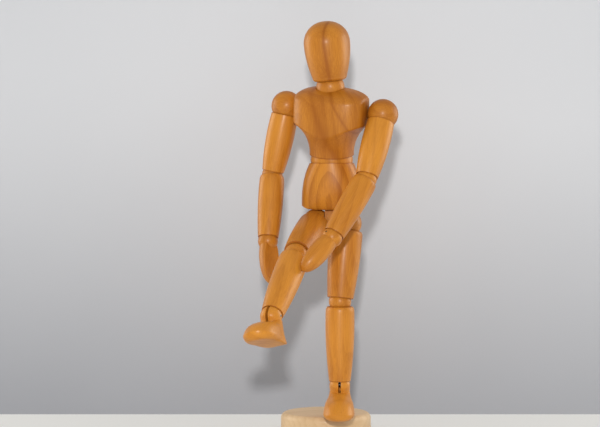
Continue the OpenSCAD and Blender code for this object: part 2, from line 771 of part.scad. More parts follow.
shoulder_rim = rim_at(shoulder_ball_d, upper_arm_top_d, thin_lip);
elbow_rim = rim_at(elbow_ball_d, upper_arm_low_d, thin_lip);
forearm_over = [1, 3.4];
forearm_rim = rim_at(elbow_ball_d, forearm_d - 2 * forearm_over.x, thin_lip);
wrist_rim = rim_at(wrist_ball_d, forearm_low_d, thin_lip);
thigh_over = [1.9, 3];
hip_rim = rim_at(hip_ball_d, thigh_d - 2 * thigh_over.x, thin_lip);
knee_rim = rim_at(knee_ball_d, thigh_low_d, knee_lip);
shin_over = [1.5, 3.6];
shin_rim = rim_at(knee_ball_d, shin_d - 2 * shin_over.x, knee_lip);
ankle_rim = rim_at(ankle_ball_d, shin_low_d, thin_lip);
small_over = [0.2, 0.5];

// Place of each limb's greatest diameter along its length
upper_arm_full = 0.33;
forearm_full = 0.3;
thigh_full = 0.3;
shin_full = 0.28;
forearm_top_d = forearm_d - 0.6;
shin_top_d = shin_d - 0.5;

module upper_arm(side) {
    color(wood)
        multmatrix(upper_arm_frame(side))
            limb(upper_arm_len, shoulder_ball_d, shoulder_rim, elbow_ball_d, elbow_rim, upper_arm_full,
                [upper_arm_top_d, upper_arm_d, upper_arm_low_d] / 2, small_over, small_over);
}
module upper_arm_spring(side) {
    multmatrix(upper_arm_frame(side))
        rotate([0, 0, 90])
            limb_spring(upper_arm_len, shoulder_ball_d, elbow_ball_d);
}
module elbow_ball(side) {
    color(wood)
        multmatrix(elbow_frame(side))
            ball(elbow_ball_d, -limb_slot, limb_slot_back, 0, -side);
}
module forearm(side) {
    color(wood)
        multmatrix(forearm_frame(side))
            limb(forearm_len, elbow_ball_d, forearm_rim, wrist_ball_d, wrist_rim, forearm_full,
                [forearm_top_d, forearm_d, forearm_low_d] / 2, forearm_over, small_over);
}
module forearm_spring(side) {
    multmatrix(forearm_frame(side))
        hooked_spring(forearm_len, elbow_ball_d, wrist_ball_d);
}
module wrist_hook(side) {
    multmatrix(wrist_frame(side))
        hook(wrist_ball_d);
}

// Hand: a turned teardrop under the wrist ball, cut to a flat palm
palm_lift = 0.4; // how far the palm's cut lies from the axis at the finger tips
palm_slope = 6.5; // slant of the palm away from the axis
hand_steps = 16;
knuckles = 0.44; // place of the widest part along the hand
function hand_r(f) =
    let (away = abs(f - knuckles) / (f < knuckles ? 0.6 : 1 - knuckles))
    hand_w / 2 * pow(max(0, 1 - pow(away, 2.3)), 0.55);
module blade() {
    start = 0.1;
    difference() {
        rotate_extrude()
            polygon(concat(
                [[0, -start * hand_len]],
                [for (i = [0:hand_steps]) let (f = start + (1 - start) * i / hand_steps)
                    [hand_r(f), -f * hand_len]]
            ));
        translate([0, -palm_lift, -hand_len])
            rotate([palm_slope, 0, 0])
                translate([-hand_w, -2 * hand_w, -hand_len])
                    cube([2 * hand_w, 2 * hand_w, 3 * hand_len]);
    }
}
module hand(side) {
    color(wood)
        multmatrix(hand_frame(side))
            difference() {
                union() {
                    sphere(d = wrist_ball_d);
                    rotate([0, hand_cant(side), 0])
                        blade();
                }
                mirror([0, 0, 1])
                    slot(-hand_slot, hand_slot, wrist_ball_d / 2 + over);
                pin_way(wrist_ball_d, left);
            }
}

module thigh(side) {
    color(wood)
        multmatrix(thigh_frame(side))
            limb(thigh_len, hip_ball_d, hip_rim, knee_ball_d, knee_rim, thigh_full,
                [thigh_d, thigh_d, thigh_low_d] / 2, thigh_over, small_over);
}
module thigh_spring(side) {
    multmatrix(thigh_frame(side))
        rotate([0, 0, 90])
            limb_spring(thigh_len, hip_ball_d, knee_ball_d);
}
module knee_ball(side) {
    color(wood)
        multmatrix(knee_frame(side))
            ball(knee_ball_d, -limb_slot_back, limb_slot, 0, -side);
}
module shin(side) {
    color(wood)
        multmatrix(shin_frame(side))
            limb(shin_len, knee_ball_d, shin_rim, ankle_ball_d, ankle_rim, shin_full,
                [shin_top_d, shin_d, shin_low_d] / 2, shin_over, small_over);
}
module shin_spring(side) {
    multmatrix(shin_frame(side))
        hooked_spring(shin_len, knee_ball_d, ankle_ball_d);
}
module ankle_hook(side) {
    multmatrix(ankle_frame(side))
        hook(ankle_ball_d);
}

// Foot: a plump egg-shaped shoe with a flat sole, under the slotted ankle
foot_around = 32;
foot_levels = 18;
heel_back = 10.2; // heel behind the ankle
foot_high = 15.6; // height of the instep
toe_high = 12.4; // height of the toe
saw_depth = 4.5; // depth of the ankle's saw cut below the pin
welt = 0.32; // height of the foot's widest line, as a share of its height
sole_edge = 0.78; // width of the sole's flat, as a share of the foot's width
foot_end = 7; // angle at which the foot's rings end
heel_w = 0.52; // width at the heel, as a share of the foot's width
ball_w = 1.08; // width at the ball of the foot, before the toe draws in
toe_in = 0.08; // how much the toe draws in
foot_full = 0.62; // the smaller, the blunter the ends seen from above
heel_taper = 0.8; // the larger, the thinner the heel
toe_taper = 0.45; // the larger, the thinner the toe
stem_in = 4; // how far above the sole the ankle's stem ends
stem_top_d = ankle_ball_d - 4 * play;
stem_h = ankle_rise - stem_in - over;
function foot_ring(a) =
    let (f = (1 - cos(a)) / 2)
    let (y = heel_back - foot_len * f)
    let (wide = heel_w + (ball_w - heel_w) * f - toe_in * pow(f, 6))
    let (w = foot_w / 2 * pow(sin(a), foot_full) * wide)
    let (taper = a < 90 ? heel_taper : toe_taper)
    let (h = (foot_high + (toe_high - foot_high) * f) * pow(sin(a), taper))
    [for (i = [0:foot_around - 1]) let (u = 360 * i / foot_around)
        let (c = cos(u)) let (s = sin(u))
        let (low = s < 0 ? sole_edge + (1 - sole_edge) * (1 - pow(-s, 1.5)) : 1)
        let (rise = s > 0 ? h * (1 - welt) * pow(s, 0.8) : -h * welt * pow(-s, 0.5))
        [w * sign(c) * pow(abs(c), 0.75) * low, y, max(0, h * welt + rise) - ankle_rise]];
module foot(side) {
    color(wood)
        multmatrix(foot_frame(side))
            difference() {
                union() {
                    rotate([0, side == right ? right_foot_cant : 0, 0]) {
                        loft([for (i = [0:foot_levels])
                            foot_ring(foot_end + (180 - 2 * foot_end) * i / foot_levels)]);
                        translate([0, 0, stem_in - ankle_rise])
                            cylinder(d1 = ankle_ball_d, d2 = stem_top_d, h = stem_h);
                    }
                    sphere(d = ankle_ball_d);
                }
                translate([-slot_w / 2, -ankle_ball_d, -saw_depth])
                    cube([slot_w, 2 * ankle_ball_d, saw_depth + ankle_ball_d]);
                pin_way(ankle_ball_d, left);
            }
}

module pelvis_hook() {
    multmatrix(hips * shift([0, 0, waist_rise]))
        mirror([0, 0, 1])
            fixed_hook(waist_ball_d, pelvis_hook_len);
}
module head_hook() {
    multmatrix(head_frame)
        fixed_hook(neck_ball_d, head_hook_len);
}
module posed_pin(frame, d, side) {
    multmatrix(frame)
        pin(d, side);
}

base();
support_rod();
pelvis();
pelvis_hook();
hip_spring();
waist_ball();
posed_pin(waist, waist_ball_d, right);  // waist_pin
chest();
torso_spring();
shoulder_spring();
neck();
posed_pin(neck_frame, neck_ball_d, right);  // neck_pin
head();
head_hook();

shoulder_ball(right);  // right_shoulder_ball
side_pin(shoulder_frame(right), shoulder_ball_d);  // right_shoulder_pin
upper_arm(right);  // right_upper_arm
upper_arm_spring(right);  // right_upper_arm_spring
elbow_ball(right);  // right_elbow_ball
posed_pin(elbow_frame(right), elbow_ball_d, left);  // right_elbow_pin
forearm(right);  // right_forearm
forearm_spring(right);  // right_forearm_spring
wrist_hook(right);  // right_wrist_hook
hand(right);  // right_hand
posed_pin(hand_frame(right), wrist_ball_d, left);  // right_hand_pin

shoulder_ball(left);  // left_shoulder_ball
side_pin(shoulder_frame(left), shoulder_ball_d);  // left_shoulder_pin
upper_arm(left);  // left_upper_arm
upper_arm_spring(left);  // left_upper_arm_spring
elbow_ball(left);  // left_elbow_ball
posed_pin(elbow_frame(left), elbow_ball_d, right);  // left_elbow_pin
forearm(left);  // left_forearm
forearm_spring(left);  // left_forearm_spring
wrist_hook(left);  // left_wrist_hook
hand(left);  // left_hand
posed_pin(hand_frame(left), wrist_ball_d, left);  // left_hand_pin

hip_ball(right);  // right_hip_ball
side_pin(hip_frame(right), hip_ball_d);  // right_hip_pin
thigh(right);  // right_thigh
thigh_spring(right);  // right_thigh_spring
knee_ball(right);  // right_knee_ball
posed_pin(knee_frame(right), knee_ball_d, left);  // right_knee_pin
shin(right);  // right_shin
shin_spring(right);  // right_shin_spring
ankle_hook(right);  // right_ankle_hook
foot(right);  // right_foot
posed_pin(foot_frame(right), ankle_ball_d, left);  // right_foot_pin

hip_ball(left);  // left_hip_ball
side_pin(hip_frame(left), hip_ball_d);  // left_hip_pin
thigh(left);  // left_thigh
thigh_spring(left);  // left_thigh_spring
knee_ball(left);  // left_knee_ball
posed_pin(knee_frame(left), knee_ball_d, right);  // left_knee_pin
shin(left);  // left_shin
shin_spring(left);  // left_shin_spring
ankle_hook(left);  // left_ankle_hook
foot(left);  // left_foot
posed_pin(foot_frame(left), ankle_ball_d, left);  // left_foot_pin
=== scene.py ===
import json
import math

import bpy
import numpy as np
from mathutils import Matrix, Vector


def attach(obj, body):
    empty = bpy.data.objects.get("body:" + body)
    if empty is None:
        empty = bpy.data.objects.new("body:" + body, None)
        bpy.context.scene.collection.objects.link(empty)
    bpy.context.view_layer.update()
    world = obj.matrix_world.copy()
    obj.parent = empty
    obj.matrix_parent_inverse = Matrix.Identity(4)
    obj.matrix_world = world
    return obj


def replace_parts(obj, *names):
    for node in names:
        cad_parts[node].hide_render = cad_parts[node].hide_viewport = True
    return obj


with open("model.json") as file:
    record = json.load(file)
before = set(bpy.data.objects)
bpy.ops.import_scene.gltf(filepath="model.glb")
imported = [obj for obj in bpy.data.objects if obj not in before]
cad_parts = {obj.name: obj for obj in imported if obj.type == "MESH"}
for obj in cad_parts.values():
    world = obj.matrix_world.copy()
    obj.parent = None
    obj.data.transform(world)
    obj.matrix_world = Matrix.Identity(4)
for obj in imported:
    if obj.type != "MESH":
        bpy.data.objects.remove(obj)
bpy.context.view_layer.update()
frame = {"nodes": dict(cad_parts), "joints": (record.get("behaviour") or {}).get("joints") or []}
nodes = frame["nodes"]
jointAt = {j["name"]: Vector(j["pos_m"]) for j in frame["joints"]}
jointAxis = {j["name"]: Vector(j["axis"]).normalized() for j in frame["joints"]}
sides = ("right", "left")


# Shader maths: a socket with operators, and one method for every other node
class Value:
    def __init__(self, board, socket):
        self.board = board
        self.socket = socket

    def maths(self, operation, first, second):
        made = self.board.node("ShaderNodeMath", {"operation": operation}, {0: first, 1: second})
        return self.board.out(made, 0)

    def __add__(self, other):
        return self.maths("ADD", self, other)

    def __sub__(self, other):
        return self.maths("SUBTRACT", self, other)

    def __rsub__(self, other):
        return self.maths("SUBTRACT", other, self)

    def __mul__(self, other):
        return self.maths("MULTIPLY", self, other)

    def __truediv__(self, other):
        return self.maths("DIVIDE", self, other)

    def __rtruediv__(self, other):
        return self.maths("DIVIDE", other, self)

    def __pow__(self, other):
        return self.maths("POWER", self, other)

    __radd__ = __add__
    __rmul__ = __mul__


class Board:
    def __init__(self, name):
        self.material = bpy.data.materials.new(name)
        self.material.use_nodes = True
        self.tree = self.material.node_tree
        self.tree.nodes.clear()

    def node(self, kind, settings=None, sockets=None):
        made = self.tree.nodes.new(kind)
        for key, setting in (settings or {}).items():
            setattr(made, key, setting)
        for key, given in (sockets or {}).items():
            target = made.inputs[key]
            if isinstance(given, Value):
                self.tree.links.new(given.socket, target)
            else:
                target.default_value = given
        return made

    def out(self, made, key=0):
        return Value(self, made.outputs[key])

    def finish(self, shader):
        end = self.node("ShaderNodeOutputMaterial")
        self.tree.links.new(shader.outputs[0], end.inputs["Surface"])
        return self.material


def opaque(rgb):
    return (rgb[0], rgb[1], rgb[2], 1.0)


# Where each piece lies: its middle and its own X, Y and Z, with Z along the grain
def axesFrom(across, along):
    z = along.normalized()
    x = (across - z * across.dot(z)).normalized()
    return Matrix((x, z.cross(x), z)).transposed()


def squareTo(way, axis):
    return way - axis * way.dot(axis)


def pointing(axis, way):
    return axis if axis.dot(way) > 0 else -axis


def corners(name):
    mesh = nodes[name].data
    flat = np.empty(len(mesh.vertices) * 3, np.float32)
    mesh.vertices.foreach_get("co", flat)
    return flat.reshape(-1, 3)


def farthest(name, start):
    points = corners(name)
    return Vector(points[np.argmax(((points - np.array(start)) ** 2).sum(1))])


figureLeft = Vector((1, 0, 0))
figureUp = Vector((0, 0, 1))
baseGrain = Vector((1, 0.25, 0))
waistAt, neckAt = jointAt["waist_bend"], jointAt["head_turn"]
hipLine = jointAt["left_leg_spread"] - jointAt["right_leg_spread"]
chestX = pointing(jointAxis["waist_bend"], figureLeft)
headX = pointing(jointAxis["neck_nod"], figureLeft)
headZ = pointing(jointAxis["head_turn"], figureUp)
places = {
    "base": (Vector((0, 0, 0)), axesFrom(figureUp, baseGrain)),
    "pelvis": ((jointAt["left_leg_spread"] + jointAt["right_leg_spread"]) / 2, axesFrom(hipLine, figureUp)),
    "waist_ball": (waistAt, axesFrom(chestX, figureUp)),
    "chest": (waistAt, axesFrom(chestX, squareTo(neckAt - waistAt, chestX))),
    "neck": (neckAt, axesFrom(headX, squareTo(neckAt - waistAt, headX))),
    "head": (neckAt, axesFrom(headX, headZ)),
}
for side in sides:
    at = {key: jointAt[f"{side}_{key}"] for key in
          ("arm_raise", "elbow_bend", "wrist_bend", "leg_spread", "knee_bend", "ankle_bend")}
    elbowX = pointing(jointAxis[f"{side}_elbow_bend"], figureLeft)
    kneeX = pointing(jointAxis[f"{side}_knee_bend"], figureLeft)
    handX = pointing(jointAxis[f"{side}_wrist_bend"], figureLeft)
    footX = pointing(jointAxis[f"{side}_ankle_bend"], figureLeft)
    fingers = farthest(f"{side}_hand", at["wrist_bend"]) - at["wrist_bend"]
    toe = farthest(f"{side}_foot", at["ankle_bend"]) - at["ankle_bend"]
    upperArm = at["arm_raise"] - at["elbow_bend"]
    foreArm = at["elbow_bend"] - at["wrist_bend"]
    thigh = at["leg_spread"] - at["knee_bend"]
    shin = at["knee_bend"] - at["ankle_bend"]
    places.update({
        f"{side}_shoulder_ball": (at["arm_raise"], axesFrom(figureUp, chestX)),
        f"{side}_upper_arm": (at["arm_raise"], axesFrom(elbowX, upperArm)),
        f"{side}_elbow_ball": (at["elbow_bend"], axesFrom(elbowX, upperArm)),
        f"{side}_forearm": (at["elbow_bend"], axesFrom(elbowX, foreArm)),
        f"{side}_hand": (at["wrist_bend"], axesFrom(handX, -fingers)),
        f"{side}_hip_ball": (at["leg_spread"], axesFrom(figureUp, hipLine)),
        f"{side}_thigh": (at["leg_spread"], axesFrom(kneeX, thigh)),
        f"{side}_knee_ball": (at["knee_bend"], axesFrom(kneeX, thigh)),
        f"{side}_shin": (at["knee_bend"], axesFrom(kneeX, shin)),
        f"{side}_foot": (at["ankle_bend"], axesFrom(footX, toe)),
    })
print("places worked out for", len(places), "wooden pieces")

# The figure's wood: its lightest and darkest colours; the values named Dark say how far a pattern darkens it
figureWood = {
    "light": (0.68, 0.272, 0.029),
    "dark": (0.345, 0.1, 0.004),
    "ringGap": 6.5,  # millimetres from ring to ring
    "ringAway": (14.0, 34.0),  # the rings' middle, in millimetres to the side and behind
    "ringLean": 0.22,  # how far the rings' middle leans along the piece
    "wander": 7.0,  # millimetres
    "ringDark": 0.15,
    "fibreDark": 0.85,
    "fleckDark": 0.3,
    # painted shade at a piece's ends, in the gaps between parts: how dark it is and how far it reaches
    "endDark": 0.55,
    "endReach": 0.8,  # millimetres
    "roughness": 0.4,
    "shine": 0.26,
    "coat": 0.12,
    "coatRoughness": 0.24,
    "bump": 0.1,
}
baseWood = dict(
    figureWood, light=(0.72, 0.52, 0.31), dark=(0.56, 0.37, 0.19), ringGap=4.2, ringDark=0.2, coat=0.15,
    roughness=0.5)
# The grain's patterns, in steps per millimetre across, behind and along, and what each one does
grain = {
    "wander": (0.045, 0.045, 0.014), "wanderReach": 2.0,  # slow bends of the rings
    "ripple": (0.25, 0.25, 0.025), "rippleReach": 1.6,  # small bends, reach in millimetres
    "ringDrift": 1.2, "cutShare": 0.6,  # how uneven the rings are, and how far a piece's cut moves them
    "lateFrom": 0.3, "lateTo": 0.95,  # where the dark part of a ring starts and ends
    "fibre": (1.5, 1.5, 0.055), "fibreDetail": 4.0, "fibreRough": 0.65,
    "fleck": (3.4, 3.4, 0.3), "fleckDetail": 1.0, "fleckFrom": 0.62, "fleckTo": 0.75,
    "broad": (0.06, 0.06, 0.025), "broadDetail": 1.0, "broadDark": 0.9,  # slow drift of colour
    "streakDepth": 6.0,  # millimetres in front of the middle at which a streak is full
    "tone": 0.32, "toneLow": -0.25, "toneHigh": 1.15,  # middle tone, and the lightest and darkest
    "roughSpread": 0.1, "roughUnder": 0.04,
    "bumpDepth": 0.0004, "fibreBump": 0.7, "fleckBump": 0.4, "lateBump": 0.2,  # metres, then shares
}
# Steel, darker than bare steel: partly its own colour and partly painted shade, so that pins and hooks in
# the slots and bores show dark
steelLook = {
    "colour": (0.16, 0.16, 0.165), "dark": (0.08, 0.08, 0.085), "roughness": 0.26, "roughSpread": 0.2,
    "lines": (900.0, 900.0, 120.0), "lineDetail": 3.0,
}
noiseMiddle = 0.5
millimetres = 1000.0


# Own coordinates of a piece: the object's, moved to its middle and turned to its axes, in millimetres
def ownCoordinates(board, place):
    middle, axes = place
    back = axes.transposed()
    seen = board.node("ShaderNodeTexCoord")
    return board.out(board.node(
        "ShaderNodeMapping", {"vector_type": "POINT"},
        {"Vector": board.out(seen, "Object"), "Location": back @ (middle * -millimetres),
         "Rotation": back.to_euler(), "Scale": (millimetres, millimetres, millimetres)}))


def stretched(board, coordinates, scale):
    return board.out(board.node(
        "ShaderNodeVectorMath", {"operation": "MULTIPLY"}, {0: coordinates, 1: scale}))


def noise(board, coordinates, scale, detail=2.0, roughness=0.5):
    made = board.node(
        "ShaderNodeTexNoise", {"noise_dimensions": "3D"},
        {"Vector": stretched(board, coordinates, scale), "Scale": 1.0, "Detail": detail,
         "Roughness": roughness})
    return board.out(made, "Fac")


def smoothStep(board, value, low, high):
    made = board.node(
        "ShaderNodeMapRange", {"interpolation_type": "SMOOTHSTEP"},
        {"Value": value, "From Min": low, "From Max": high, "To Min": 0.0, "To Max": 1.0})
    return board.out(made, "Result")


def mixed(board, share, first, second):
    made = board.node("ShaderNodeMix", {"data_type": "RGBA"}, {"Factor": share})
    for key, given in (("A_Color", first), ("B_Color", second)):
        target = next(s for s in made.inputs if s.identifier == key)
        if isinstance(given, Value):
            board.tree.links.new(given.socket, target)
        else:
            target.default_value = opaque(given)
    return Value(board, next(s for s in made.outputs if s.identifier == "Result_Color"))


# A dark streak on a piece's front: a band about the slanted line x = place + slope z
def streak(board, x, y, z, wander, mark):
    off = (x - mark["place"] - z * mark["slope"] + wander * mark["wander"]) / mark["width"]
    band = 1.0 / (off * off + 1.0)
    return band * smoothStep(board, 0.0 - y, 0.0, grain["streakDepth"]) * mark["dark"]


# Wood: growth rings about a leaning axis, with fibres, flecks, streaks, painted shade at the ends where the
# piece meets the next part, and a broad drift
def woodMaterial(name, place, look, tone, cut, marks, shadedEnds):
    board = Board(name)
    plain = ownCoordinates(board, place)
    own = board.out(board.node("ShaderNodeVectorMath", {"operation": "ADD"}, {0: plain, 1: cut}))
    parts = board.node("ShaderNodeSeparateXYZ", None, {"Vector": plain})
    x, y, z = (board.out(parts, key) for key in "XYZ")
    wander = noise(board, own, grain["wander"]) - noiseMiddle
    ripple = noise(board, own, grain["ripple"]) - noiseMiddle
    ringX = look["ringAway"][0] + cut[0] * grain["cutShare"]
    ringY = look["ringAway"][1] + cut[1] * grain["cutShare"]
    dx = x + ringX + wander * (look["wander"] * grain["wanderReach"])
    dy = y + ringY + z * look["ringLean"] + ripple * grain["rippleReach"]
    turns = ((dx * dx + dy * dy) ** 0.5) / look["ringGap"] + wander * grain["ringDrift"]
    ring = board.out(board.node("ShaderNodeMath", {"operation": "FRACT"}, {0: turns}))
    fading = 1.0 - smoothStep(board, ring, grain["lateTo"], 1.0)
    late = smoothStep(board, ring, grain["lateFrom"], grain["lateTo"]) * fading
    fibre = noise(board, own, grain["fibre"], grain["fibreDetail"], grain["fibreRough"])
    spots = noise(board, own, grain["fleck"], grain["fleckDetail"])
    flecks = smoothStep(board, spots, grain["fleckFrom"], grain["fleckTo"])
    broad = noise(board, own, grain["broad"], grain["broadDetail"]) - noiseMiddle
    share = late * look["ringDark"] + (fibre - noiseMiddle) * look["fibreDark"]
    share = share + broad * grain["broadDark"] + (grain["tone"] + tone)
    for mark in marks:
        share = share + streak(board, x, y, z, wander, mark)
    # Painted shade: a dark line at each end of the piece, where it meets the next part
    for end in shadedEnds:
        near = board.out(board.node("ShaderNodeMath", {"operation": "ABSOLUTE"}, {0: z - end}))
        share = share + (1.0 - smoothStep(board, near, 0.0, look["endReach"])) * look["endDark"]
    share = smoothStep(board, share, grain["toneLow"], grain["toneHigh"])
    colour = mixed(board, share, look["light"], look["dark"])
    colour = mixed(board, flecks * look["fleckDark"], colour, look["dark"])
    relief = fibre * grain["fibreBump"] - flecks * grain["fleckBump"] - late * grain["lateBump"]
    bump = board.node(
        "ShaderNodeBump", None, {"Strength": look["bump"], "Distance": grain["bumpDepth"], "Height": relief})
    shader = board.node("ShaderNodeBsdfPrincipled", None, {
        "Base Color": colour,
        "Roughness": (share + flecks) * grain["roughSpread"] + (look["roughness"] - grain["roughUnder"]),
        "Specular IOR Level": look["shine"],
        "Coat Weight": look["coat"], "Coat Roughness": look["coatRoughness"],
        "Normal": board.out(bump)})
    return board.finish(shader)


# Steel wire: fine drawn lines that run upright, on a colour that is partly the steel's own and partly
# painted shade
def steelMaterial():
    board = Board("drawnSteel")
    seen = board.node("ShaderNodeTexCoord")
    lines = noise(board, board.out(seen, "Object"), steelLook["lines"], steelLook["lineDetail"])
    shader = board.node("ShaderNodeBsdfPrincipled", None, {
        "Base Color": mixed(board, lines, steelLook["dark"], steelLook["colour"]),
        "Metallic": 1.0, "Roughness": lines * steelLook["roughSpread"] + steelLook["roughness"]})
    return board.finish(shader)


# Every piece has its own tone and its own cut from the wood, which is a shift in millimetres
pieceTones = {
    "base": (0.0, (11, 3, 7)), "pelvis": (0.0, (0, 0, 5)), "waist_ball": (0.0, (3, 9, 40)),
    "chest": (0.24, (31, 7, 21)), "neck": (0.08, (2, 50, 3)), "head": (0.09, (-46, 12, 13)),
}
pieceRings = {
    "pelvis": {"ringAway": (-2.0, 10.0), "ringLean": 0.5, "ringDark": 0.3},
    "head": {"ringDark": 0.06},
}
limbTones = {
    "shoulder_ball": 0.14, "upper_arm": -0.12, "elbow_ball": 0.0, "forearm": 0.0, "hand": 0.03,
    "hip_ball": 0.06, "thigh": 0.09, "knee_ball": 0.02, "shin": -0.17, "foot": -0.17,
}
limbCuts = {"across": 17.0, "behind": 23.0, "along": 40.0, "acrossTurn": 3.1, "behindTurn": 1.7}
for number, side in enumerate(sides):
    for count, (limb, tone) in enumerate(limbTones.items()):
        cut = (limbCuts["across"] * math.sin(limbCuts["acrossTurn"] * count + number),
               limbCuts["behind"] * math.cos(limbCuts["behindTurn"] * count + 2 * number),
               limbCuts["along"] * count)
        pieceTones[f"{side}_{limb}"] = (tone, cut)

# Streaks that show on the front of the larger pieces, in millimetres from the piece's middle
pieceMarks = {
    "head": [{"place": 5.0, "slope": -0.02, "width": 0.8, "dark": 0.6, "wander": 3.0}],
    "chest": [
        {"place": 37.0, "slope": -0.66, "width": 0.9, "dark": 0.34, "wander": 4.0},
        {"place": 10.7, "slope": -0.42, "width": 2.2, "dark": 0.3, "wander": 6.0},
    ],
    "pelvis": [{"place": 6.0, "slope": 0.1, "width": 1.4, "dark": 0.36, "wander": 5.0}],
}
steel = steelMaterial()
shading = {"sharpEdge": 32.0, "joinWithin": 1e-6}  # degrees, metres


# Smooth shading that keeps the sharp edges
def softShading(piece):
    piece.data.polygons.foreach_set("use_smooth", np.ones(len(piece.data.polygons), bool))
    split = piece.modifiers.new("edges", "EDGE_SPLIT")
    split.split_angle = math.radians(shading["sharpEdge"])


# A carried-over solid: its corners are joined, so that it shades smoothly
def dressSolid(name, material):
    piece = nodes[name]
    piece.data.materials.clear()
    piece.data.materials.append(material)
    weld = piece.modifiers.new("join", "WELD")
    weld.merge_threshold = shading["joinWithin"]
    softShading(piece)


# A closed skin over rings that run from one pole to the other, in a place's own millimetres
def ringSkin(name, rings, place, material, body):
    middle, axes = place
    count, around = rings.shape[:2]
    own = np.concatenate([rings[:1].mean(1), rings.reshape(-1, 3), rings[-1:].mean(1)])
    points = own / millimetres @ np.array(axes).T + np.array(middle)
    here = np.arange(around)
    after = (here + 1) % around
    rows = 1 + around * np.arange(count - 1)[:, None]
    quads = np.stack([rows + here, rows + after, rows + around + after, rows + around + here], -1)
    quads = quads.reshape(-1, 4)
    last = 1 + around * (count - 1)
    lowFan = np.stack([np.zeros(around, int), 1 + after, 1 + here], -1)
    highFan = np.stack([np.full(around, len(points) - 1), last + here, last + after], -1)
    mesh = bpy.data.meshes.new(name)
    mesh.from_pydata(points.tolist(), [], quads.tolist() + lowFan.tolist() + highFan.tolist())
    mesh.materials.append(material)
    piece = bpy.data.objects.new(name, mesh)
    bpy.context.scene.collection.objects.link(piece)
    softShading(piece)
    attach(piece, body)
    return piece


# The smaller of two arrays, with a soft bend where they cross
def softMin(a, b, sharpness):
    return -np.logaddexp(-sharpness * a, -sharpness * b) / sharpness


# Radius of a rounded box in the direction u, half as wide as a and half as deep as b
def boxRadius(u, a, b, square):
    return ((np.abs(np.cos(u)) / a) ** square + (np.abs(np.sin(u)) / b) ** square) ** (-1 / square)


# Rings of a ball's cup, from its pole to its mouth
def cupRings(u, radius, mouth, count):
    pole = 0.02
    lean = np.linspace(pole, math.acos(mouth / radius), count)[:, None]
    return np.stack([radius * np.sin(lean) * np.cos(u), radius * np.sin(lean) * np.sin(u),
                     radius * np.cos(lean) + 0 * u], -1)


# Directions all round a ring, in radians
def aroundTurns(count):
    return np.linspace(0, 2 * math.pi, count, endpoint=False)


# The chest's form in millimetres from the waist's middle
chestForm = {
    "width": 53.0, "depth": 37.0, "top": 54.0, "back": 0.45,  # back is the share behind the middle
    "square": 2.8, "boxOver": 1.0, "sideEdge": 1.8,  # the plan's squareness and its flat sides
    "slim": 1.1,  # how fast the depth shrinks in the upper half
    "rim": 4.3, "rimRadius": 16.05, "cup": 15.55, "scoop": 28.0, "scoopStart": 1.1, "ribEdge": 2.2,
    "shoulderDrop": 9.5, "shoulderFull": 0.9, "shoulderEnd": 88.0,  # the end in degrees
    "neckSide": -1.2, "neckRise": 53.4, "neckCup": 10.45, "neckEdge": 3.5, "neckSteep": 10.0,
    "around": 192, "levels": 110, "shoulderLevels": 72, "cupLevels": 24,  # points round, and rings
}


# Chest: a rounded box in plan, drawn in by a scoop under the ribs and flattened at the sides; its shoulders
# slope as a quarter of an ellipse and the neck's cup is sunk into them
def chestRings(form):
    u = aroundTurns(form["around"])
    start = form["top"] - form["shoulderDrop"]
    lean = np.linspace(0, math.radians(form["shoulderEnd"]), form["shoulderLevels"])[1:]
    trunk = np.linspace(form["rim"], start, form["levels"])
    z = np.concatenate([trunk, start + form["shoulderDrop"] * np.sin(lean)])[:, None]
    shrink = np.concatenate([np.ones(form["levels"]), np.cos(lean) ** form["shoulderFull"]])[:, None]
    rise = np.clip(z - form["rim"] - form["scoopStart"], 0, form["scoop"])
    scoop = form["rimRadius"] + form["scoop"] - np.sqrt(form["scoop"] ** 2 - rise ** 2)
    slim = 1 - form["slim"] * (np.maximum(0, z - form["top"] / 2) / form["top"]) ** 2
    depth = form["depth"] * np.where(np.sin(u) < 0, 1 - form["back"], form["back"]) * slim
    box = boxRadius(u, form["width"] / 2 + form["boxOver"], depth, form["square"])
    radius = softMin(box, scoop, form["ribEdge"]) * shrink
    x, y = radius * np.cos(u), radius * np.sin(u)
    x = np.sign(x) * np.maximum(0, softMin(np.abs(x), form["width"] / 2, form["sideEdge"]))
    off = np.hypot(x - form["neckSide"], y)
    inside = np.sqrt(np.maximum(0, form["neckCup"] ** 2 - off ** 2))
    cup = form["neckRise"] - inside + form["neckSteep"] * np.maximum(0, off - form["neckCup"])
    z = np.where(z > start, softMin(z + 0 * x, cup, form["neckEdge"]), z)
    outside = np.stack([x, y, z + 0 * x], -1)
    return np.concatenate([cupRings(u, form["cup"], form["rim"], form["cupLevels"]), outside])


# The head's form in millimetres from the neck's middle
headForm = {
    "width": 32.2, "depth": 37.0, "height": 42.6, "square": 2.1,
    "back": 0.54, "wide": 0.63,  # shares of the depth behind the middle and of the height to the widest ring
    "chin": 24.0, "chinRise": 4.9, "edge": 2.6, "cup": 10.45,
    "jaw": 1.9, "crown": 0.92, "crownEnd": 89.0,  # powers of the curves, and degrees
    "around": 176, "edgeLevels": 16, "jawLevels": 70, "crownLevels": 64, "cupLevels": 20,
}


